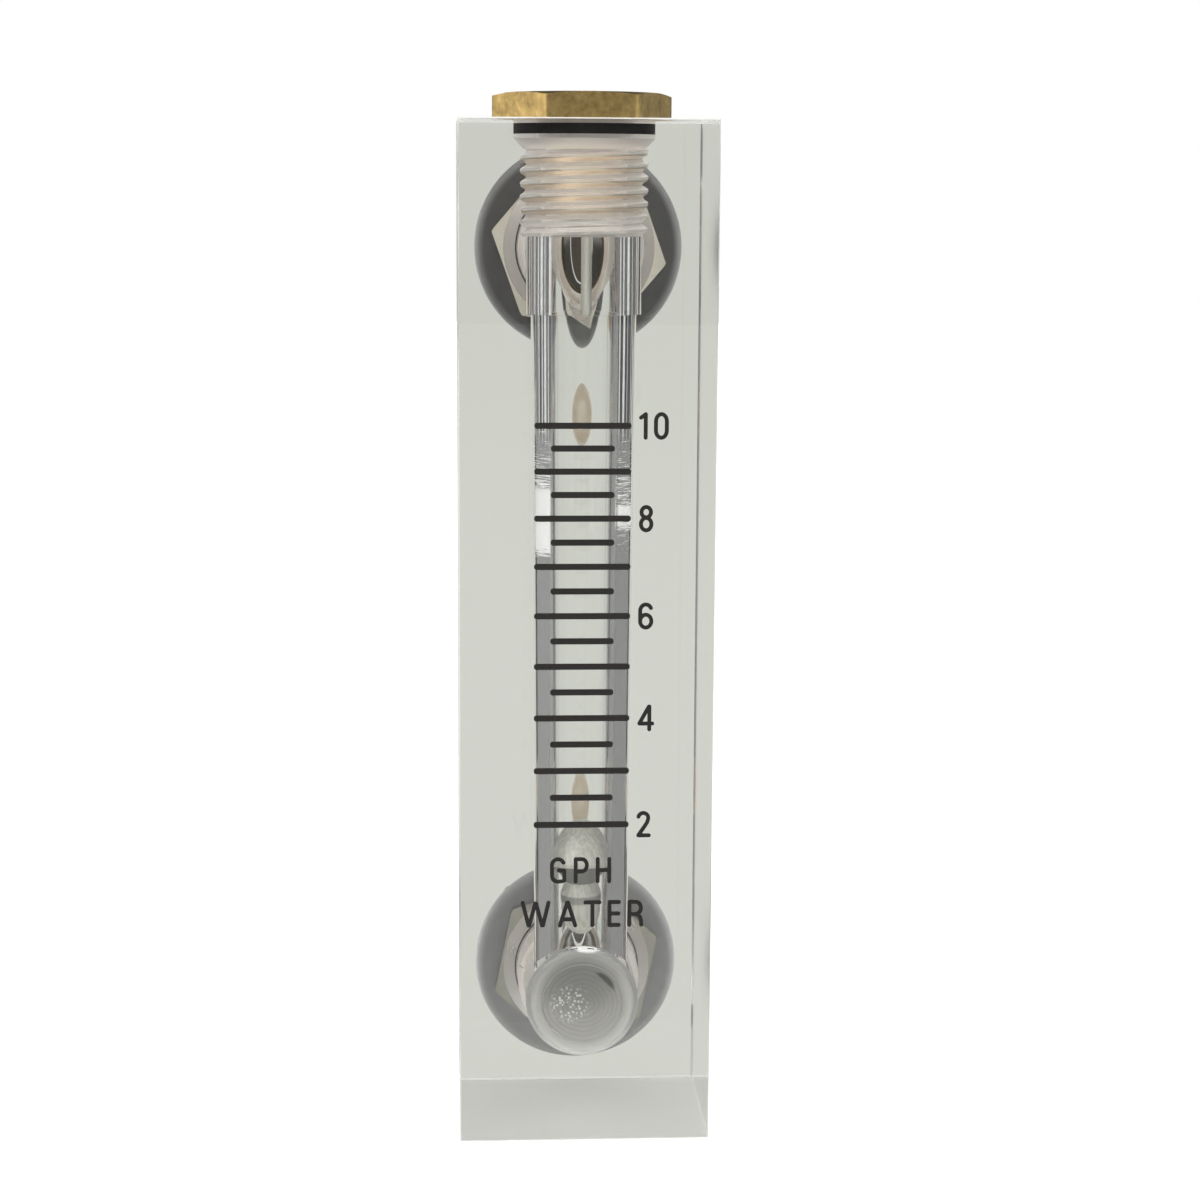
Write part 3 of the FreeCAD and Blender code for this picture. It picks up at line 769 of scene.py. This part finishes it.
brass = turned_brass("turned brass")
# Painted reflection: the pale tones each fitting shows against the acrylic, grey at the inlet and
# nearly white at the outlet.
pale_tones = {"inlet": ((0.50, 0.48, 0.435), (0.40, 0.385, 0.35)),
              "outlet": ((0.99, 0.93, 0.85), (0.93, 0.87, 0.78))}
for name, height in port_heights.items():
    nose, rear = from_back_face(name + "_fitting")
    fitting = revolve([
        (WATERWAY, nose), (5.3, nose),
        *thread_rows(nose + 0.1, -2.1, *NOSE_THREAD, start=0.25),
        (NOSE_THREAD[0], -2.0), (NECK, -1.8), (NECK, 0),
        *hex_rows(FLATS, hexagon_turns[name], 0, FLANGE), (5.6, FLANGE),
        *thread_rows(FLANGE + 0.2, rear - 0.5, *SHANK_THREAD),
        (5.8, rear - 0.02), (5.6, rear), (5.1, rear), (4.6, rear - 0.5),
        (PIPE_BORE, rear - PIPE_BORE_DEPTH), (WATERWAY, rear - PIPE_BORE_DEPTH)], ring=True)
    fitting_brass = turned_brass("turned brass of the " + name, FLANGE, 4.75, pale_tones[name])
    add_piece(name + "_brass_fitting", fitting, fitting_brass,
              replaces=[name + "_fitting"], matrix=facing_back(height))

# --------------------------------------------------------------------------------------------
# Port seals. Black rubber O-rings, moulded, one round the neck of each fitting. The hexagon
# squeezes them into the countersunk mouths of the ports.
SEAL_RADIUS, SEAL_CORD = 6.02, 0.74
rubber_finish = finish_of("seal rubber")
bloom = rubber_finish.cloud(0.8, detail=4)
rubber = rubber_finish.surface(
    Base_Color=rubber_finish.blend(bloom, (0.004, 0.004, 0.0045), (0.012, 0.012, 0.013)),
    Roughness=0.5 + 0.2 * bloom, Specular_IOR_Level=0.3,
    Normal=rubber_finish.bump(bloom, 0.2, 0.03))
for name, height in port_heights.items():
    seal = revolve(rounded((SEAL_RADIUS, -0.75), SEAL_CORD, 0, 345, 23), ring=True)
    add_piece(name + "_rubber_seal", seal, rubber, replaces=[name + "_o_ring"],
              matrix=facing_back(height))

# --------------------------------------------------------------------------------------------
# Washers. Flat rings with a soft bevelled rim and a black coat, the bevelled rim painted pale as
# a painted sheen. They are slipped over the shanks and clamped between the hexagon and the nut.
WASHER_HOLE, WASHER_FRONT, WASHER_RIM = 6.5, 9.9, 10.75
FRONT_ROUND, REAR_ROUND = 0.8, 0.3
# Painted sheen: the inlet's washer is a lighter grey than the outlet's for the sheen it shows.
washer_tones = {"inlet": ((0.32, 0.32, 0.335), (0.44, 0.44, 0.46)),
                "outlet": ((0.095, 0.092, 0.10), (0.15, 0.145, 0.16))}
for name, height in port_heights.items():
    coat_finish = finish_of(name + " washer coating")
    dust = coat_finish.cloud(1.2, detail=5)
    across, deep, _ = coat_finish.parts(coat_finish.place())
    # Painted sheen: the bevelled rim is painted pale.
    rim_sheen = 0.35 * coat_finish.fade(across ** 2 + deep ** 2, 94.0, 106.0, soft=True)
    tone = coat_finish.blend(dust, *washer_tones[name])
    coating = coat_finish.surface(
        Base_Color=coat_finish.blend(rim_sheen, tone, (0.60, 0.60, 0.61)),
        Roughness=0.32 + 0.25 * dust, Normal=coat_finish.bump(dust, 0.25, 0.04))
    front, rear = from_back_face(name + "_washer")
    washer = revolve([
        (WASHER_HOLE, front), (WASHER_FRONT, front),
        *rounded((WASHER_RIM - FRONT_ROUND, front + FRONT_ROUND), FRONT_ROUND, -80, 0, 6),
        *rounded((WASHER_RIM - REAR_ROUND, rear - REAR_ROUND), REAR_ROUND, 0, 90, 4),
        (WASHER_HOLE, rear)], ring=True)
    add_piece(name + "_black_washer", washer, coating,
              replaces=[name + "_washer"], matrix=facing_back(height))

# --------------------------------------------------------------------------------------------
# Nuts. Hexagon nuts turned from brass bar, with a chamfer on their rear. They are screwed up on
# the shanks behind the washers, or behind the panel that the meter is mounted on.
NUT_FLATS = 17.46
NUT_HOLE = 6.4
for name, height in port_heights.items():
    front, rear = from_back_face(name + "_nut")
    nut = revolve([
        (NUT_HOLE, front), *hex_rows(NUT_FLATS, hexagon_turns[name], front, rear, fall=0.577),
        (NUT_HOLE + 0.5, rear), (NUT_HOLE, rear - 0.45)], ring=True)
    add_piece(name + "_brass_nut", nut, brass, replaces=[name + "_nut"],
              matrix=facing_back(height))

# --------------------------------------------------------------------------------------------
# Threaded inserts. Small turned brass sleeves, knurled outside for grip, with a thread for a
# mounting screw inside. They are pressed flush into the block's back face.
KNURLS = 36
KNURL_DEPTH = 0.2


def knurl(height):
    """A row that waves in and out once for each knurl."""
    return lambda turn: (
        3.16 - KNURL_DEPTH * (0.5 + 0.5 * math.cos(KNURLS * 2 * math.pi * turn)), height)


for name, height in insert_heights.items():
    sleeve = revolve([
        (2.0, -0.02), (2.6, -0.02), (3.15, -0.02), (3.15, -0.35), knurl(-0.45), knurl(-2.7),
        (3.0, -2.8), (3.0, -3.2), (1.9, -3.2),
        *reversed(thread_rows(-3.1, -0.3, 1.78, 2.0))], ring=True, columns=216)
    add_piece(name + "_brass_insert", sleeve, brass, replaces=[name + "_insert"],
              matrix=facing_back(height))

# --------------------------------------------------------------------------------------------
# Top plug. Turned from hexagon brass bar and screwed into the block over a rubber seal. Its neck
# is plain where the seal lies, and its head has a shallow chamfer.
plug_low, plug_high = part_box("top_plug")
head = plug_high.z / MM - block_top
foot = plug_low.z / MM - block_top
plug_mesh = revolve([
    (0, foot), (5.2, foot), *thread_rows(foot + 0.15, -2.9, *NOSE_THREAD, start=0.25),
    (NOSE_THREAD[0], -2.8), (NECK, -2.4), (NECK, 0), *hex_rows(FLATS, 3.9, 0, head, fall=0.27),
    (0, head)])
# The plug's thread in the block is painted paler, a painted reflection.
add_piece("brass_plug", plug_mesh, turned_brass("turned brass of the plug", -0.05),
          replaces=["top_plug"], matrix=Matrix.Translation((0, 0, block_high.z)))

# --------------------------------------------------------------------------------------------
# Plug seal. A moulded rubber O-ring that the hexagon squeezes square against its counterbore, so
# that it reads as a black band from edge to edge.
CORNER_ROUND = 0.385
seal_outline = []
for radius, height, first in ((6.62, -0.43, 0), (5.66, -0.43, 90), (5.66, -1.38, 180),
                              (6.62, -1.38, 270)):
    seal_outline += rounded((radius, height), CORNER_ROUND, first, first + 90, 6)
add_piece("plug_rubber_seal", revolve(seal_outline, ring=True), rubber,
          replaces=["plug_o_ring"], matrix=Matrix.Translation((0, 0, block_high.z)))

# --------------------------------------------------------------------------------------------
# Studio, no part of the meter. A pale paper floor, a white room and two soft lamps. A small dark
# card behind each port is painted shade: it stands for the dark inside of the pipe that is
# screwed in there. It shows only to light that comes through the acrylic.
FLOOR_GAP = 0.3
PIPE_RADIUS, PIPE_DISTANCE = 4.4, 16
shape = bmesh.new()
bmesh.ops.create_circle(shape, cap_ends=True, segments=96, radius=1.6)
floor_mesh = mesh_from(shape, "floor")
paper = finish_of("pale floor")
sheet = paper.node("BsdfDiffuse", {}, {"Color": (0.72, 0.72, 0.71)})
lift = paper.node("Emission", {}, {"Color": (1, 1, 1), "Strength": 0.8})
lifted = paper.node("AddShader", {}, {0: sheet, 1: lift})
lit = paper.either(paper.node("LightPath", output="Is Camera Ray"), sheet, lifted)
floor_mesh.materials.append(paper.close(paper.either(
    paper.node("LightPath", output="Is Transmission Ray"), lit,
    paper.node("BsdfTransparent"))))
floor = bpy.data.objects.new("floor", floor_mesh)
floor.location.z = -FLOOR_GAP * MM
bpy.context.scene.collection.objects.link(floor)

shade = finish_of("pipe shadow")
pipe_shadow = shade.close(shade.either(
    shade.node("LightPath", output="Is Transmission Ray"), shade.node("BsdfTransparent"),
    shade.node("Emission", {}, {"Color": (0.05, 0.04, 0.03), "Strength": 1.0})))
for name, height in port_heights.items():
    card_mesh = revolve([(0, 0), (PIPE_RADIUS, 0)], columns=48)
    card_mesh.materials.append(pipe_shadow)
    card = bpy.data.objects.new(name + " pipe shadow", card_mesh)
    card.matrix_world = facing_back(height) @ Matrix.Translation((0, 0, PIPE_DISTANCE * MM))
    bpy.context.scene.collection.objects.link(card)

# The room is white to look at. Seen through the acrylic it darkens to the sides, and seen as a
# reflection it is bright at the left and has a dark middle.
room = Finish(bpy.data.worlds.new("studio"))
bpy.context.scene.world = room.owner
sideways, forward, _ = room.parts(room.node("TexCoord", output="Generated"))
seen_through = room.node("ValToRGB", {"stops": [
    (0.0, (0.28, 0.285, 0.275)), (0.20, (0.42, 0.43, 0.41)), (0.40, (0.64, 0.652, 0.605)),
    (1.0, (0.64, 0.652, 0.60))]}, {"Fac": abs(forward)})
mirrored = room.node("ValToRGB", {"stops": [
    (0.0, (0.98, 0.95, 0.86)), (0.15, (0.84, 0.81, 0.70)), (0.28, (0.06, 0.055, 0.05)),
    (0.75, (0.10, 0.095, 0.085)), (1.0, (0.40, 0.41, 0.37))]}, {"Fac": sideways * 0.5 + 0.5})
sky = room.blend(room.node("LightPath", output="Is Glossy Ray"), (0.9, 0.9, 0.9), mirrored)
sky = room.blend(room.node("LightPath", output="Is Transmission Ray"), sky, seen_through)
sky = room.blend(room.node("LightPath", output="Is Camera Ray"), sky, (1.0, 1.0, 1.0))
background = room.node("Background", {}, {"Color": sky, "Strength": 1.0})
room.node("OutputWorld", {}, {"Surface": background})

LAMP_SIZE = 0.5
lamp_target = Vector((0, 0, 0.05))
for name, place, power in (("key lamp", Vector((-0.45, -0.35, 0.55)), 5.0),
                           ("fill lamp", Vector((0.5, -0.2, 0.45)), 2.0)):
    lamp = bpy.data.lights.new(name, "AREA")
    lamp.shape, lamp.size, lamp.energy = "DISK", LAMP_SIZE, power
    holder = bpy.data.objects.new(name, lamp)
    holder.location = place
    holder.rotation_euler = (lamp_target - place).to_track_quat("-Z", "Y").to_euler()
    bpy.context.scene.collection.objects.link(holder)

# --------------------------------------------------------------------------------------------
# Camera. A long lens a quarter of a metre in front of the meter and level with the outlet. It
# looks slightly down on the scale from a little to the left. Angles are in radians.
YAW, TILT, ROLL = -0.0588, 0.1568, -0.0058
CAMERA_PLACE = (-0.01361, -0.266686, 0.095172)
ahead = Vector((-math.sin(YAW) * math.cos(TILT), math.cos(YAW) * math.cos(TILT), -math.sin(TILT)))
level = Vector((math.cos(YAW), math.sin(YAW), 0))
down = ahead.cross(level)
right = math.cos(ROLL) * level + math.sin(ROLL) * down
up = math.sin(ROLL) * level - math.cos(ROLL) * down
camera = bpy.data.objects.new("camera", bpy.data.cameras.new("camera"))
camera.data.lens, camera.data.sensor_width = 78.58, 36
camera.data.clip_start, camera.data.clip_end = 0.01, 10
aim = Matrix((right, up, -ahead)).transposed().to_4x4()
camera.matrix_world = Matrix.Translation(CAMERA_PLACE) @ aim
bpy.context.scene.collection.objects.link(camera)
bpy.context.scene.camera = camera
bpy.context.scene.view_settings.view_transform = "Standard"
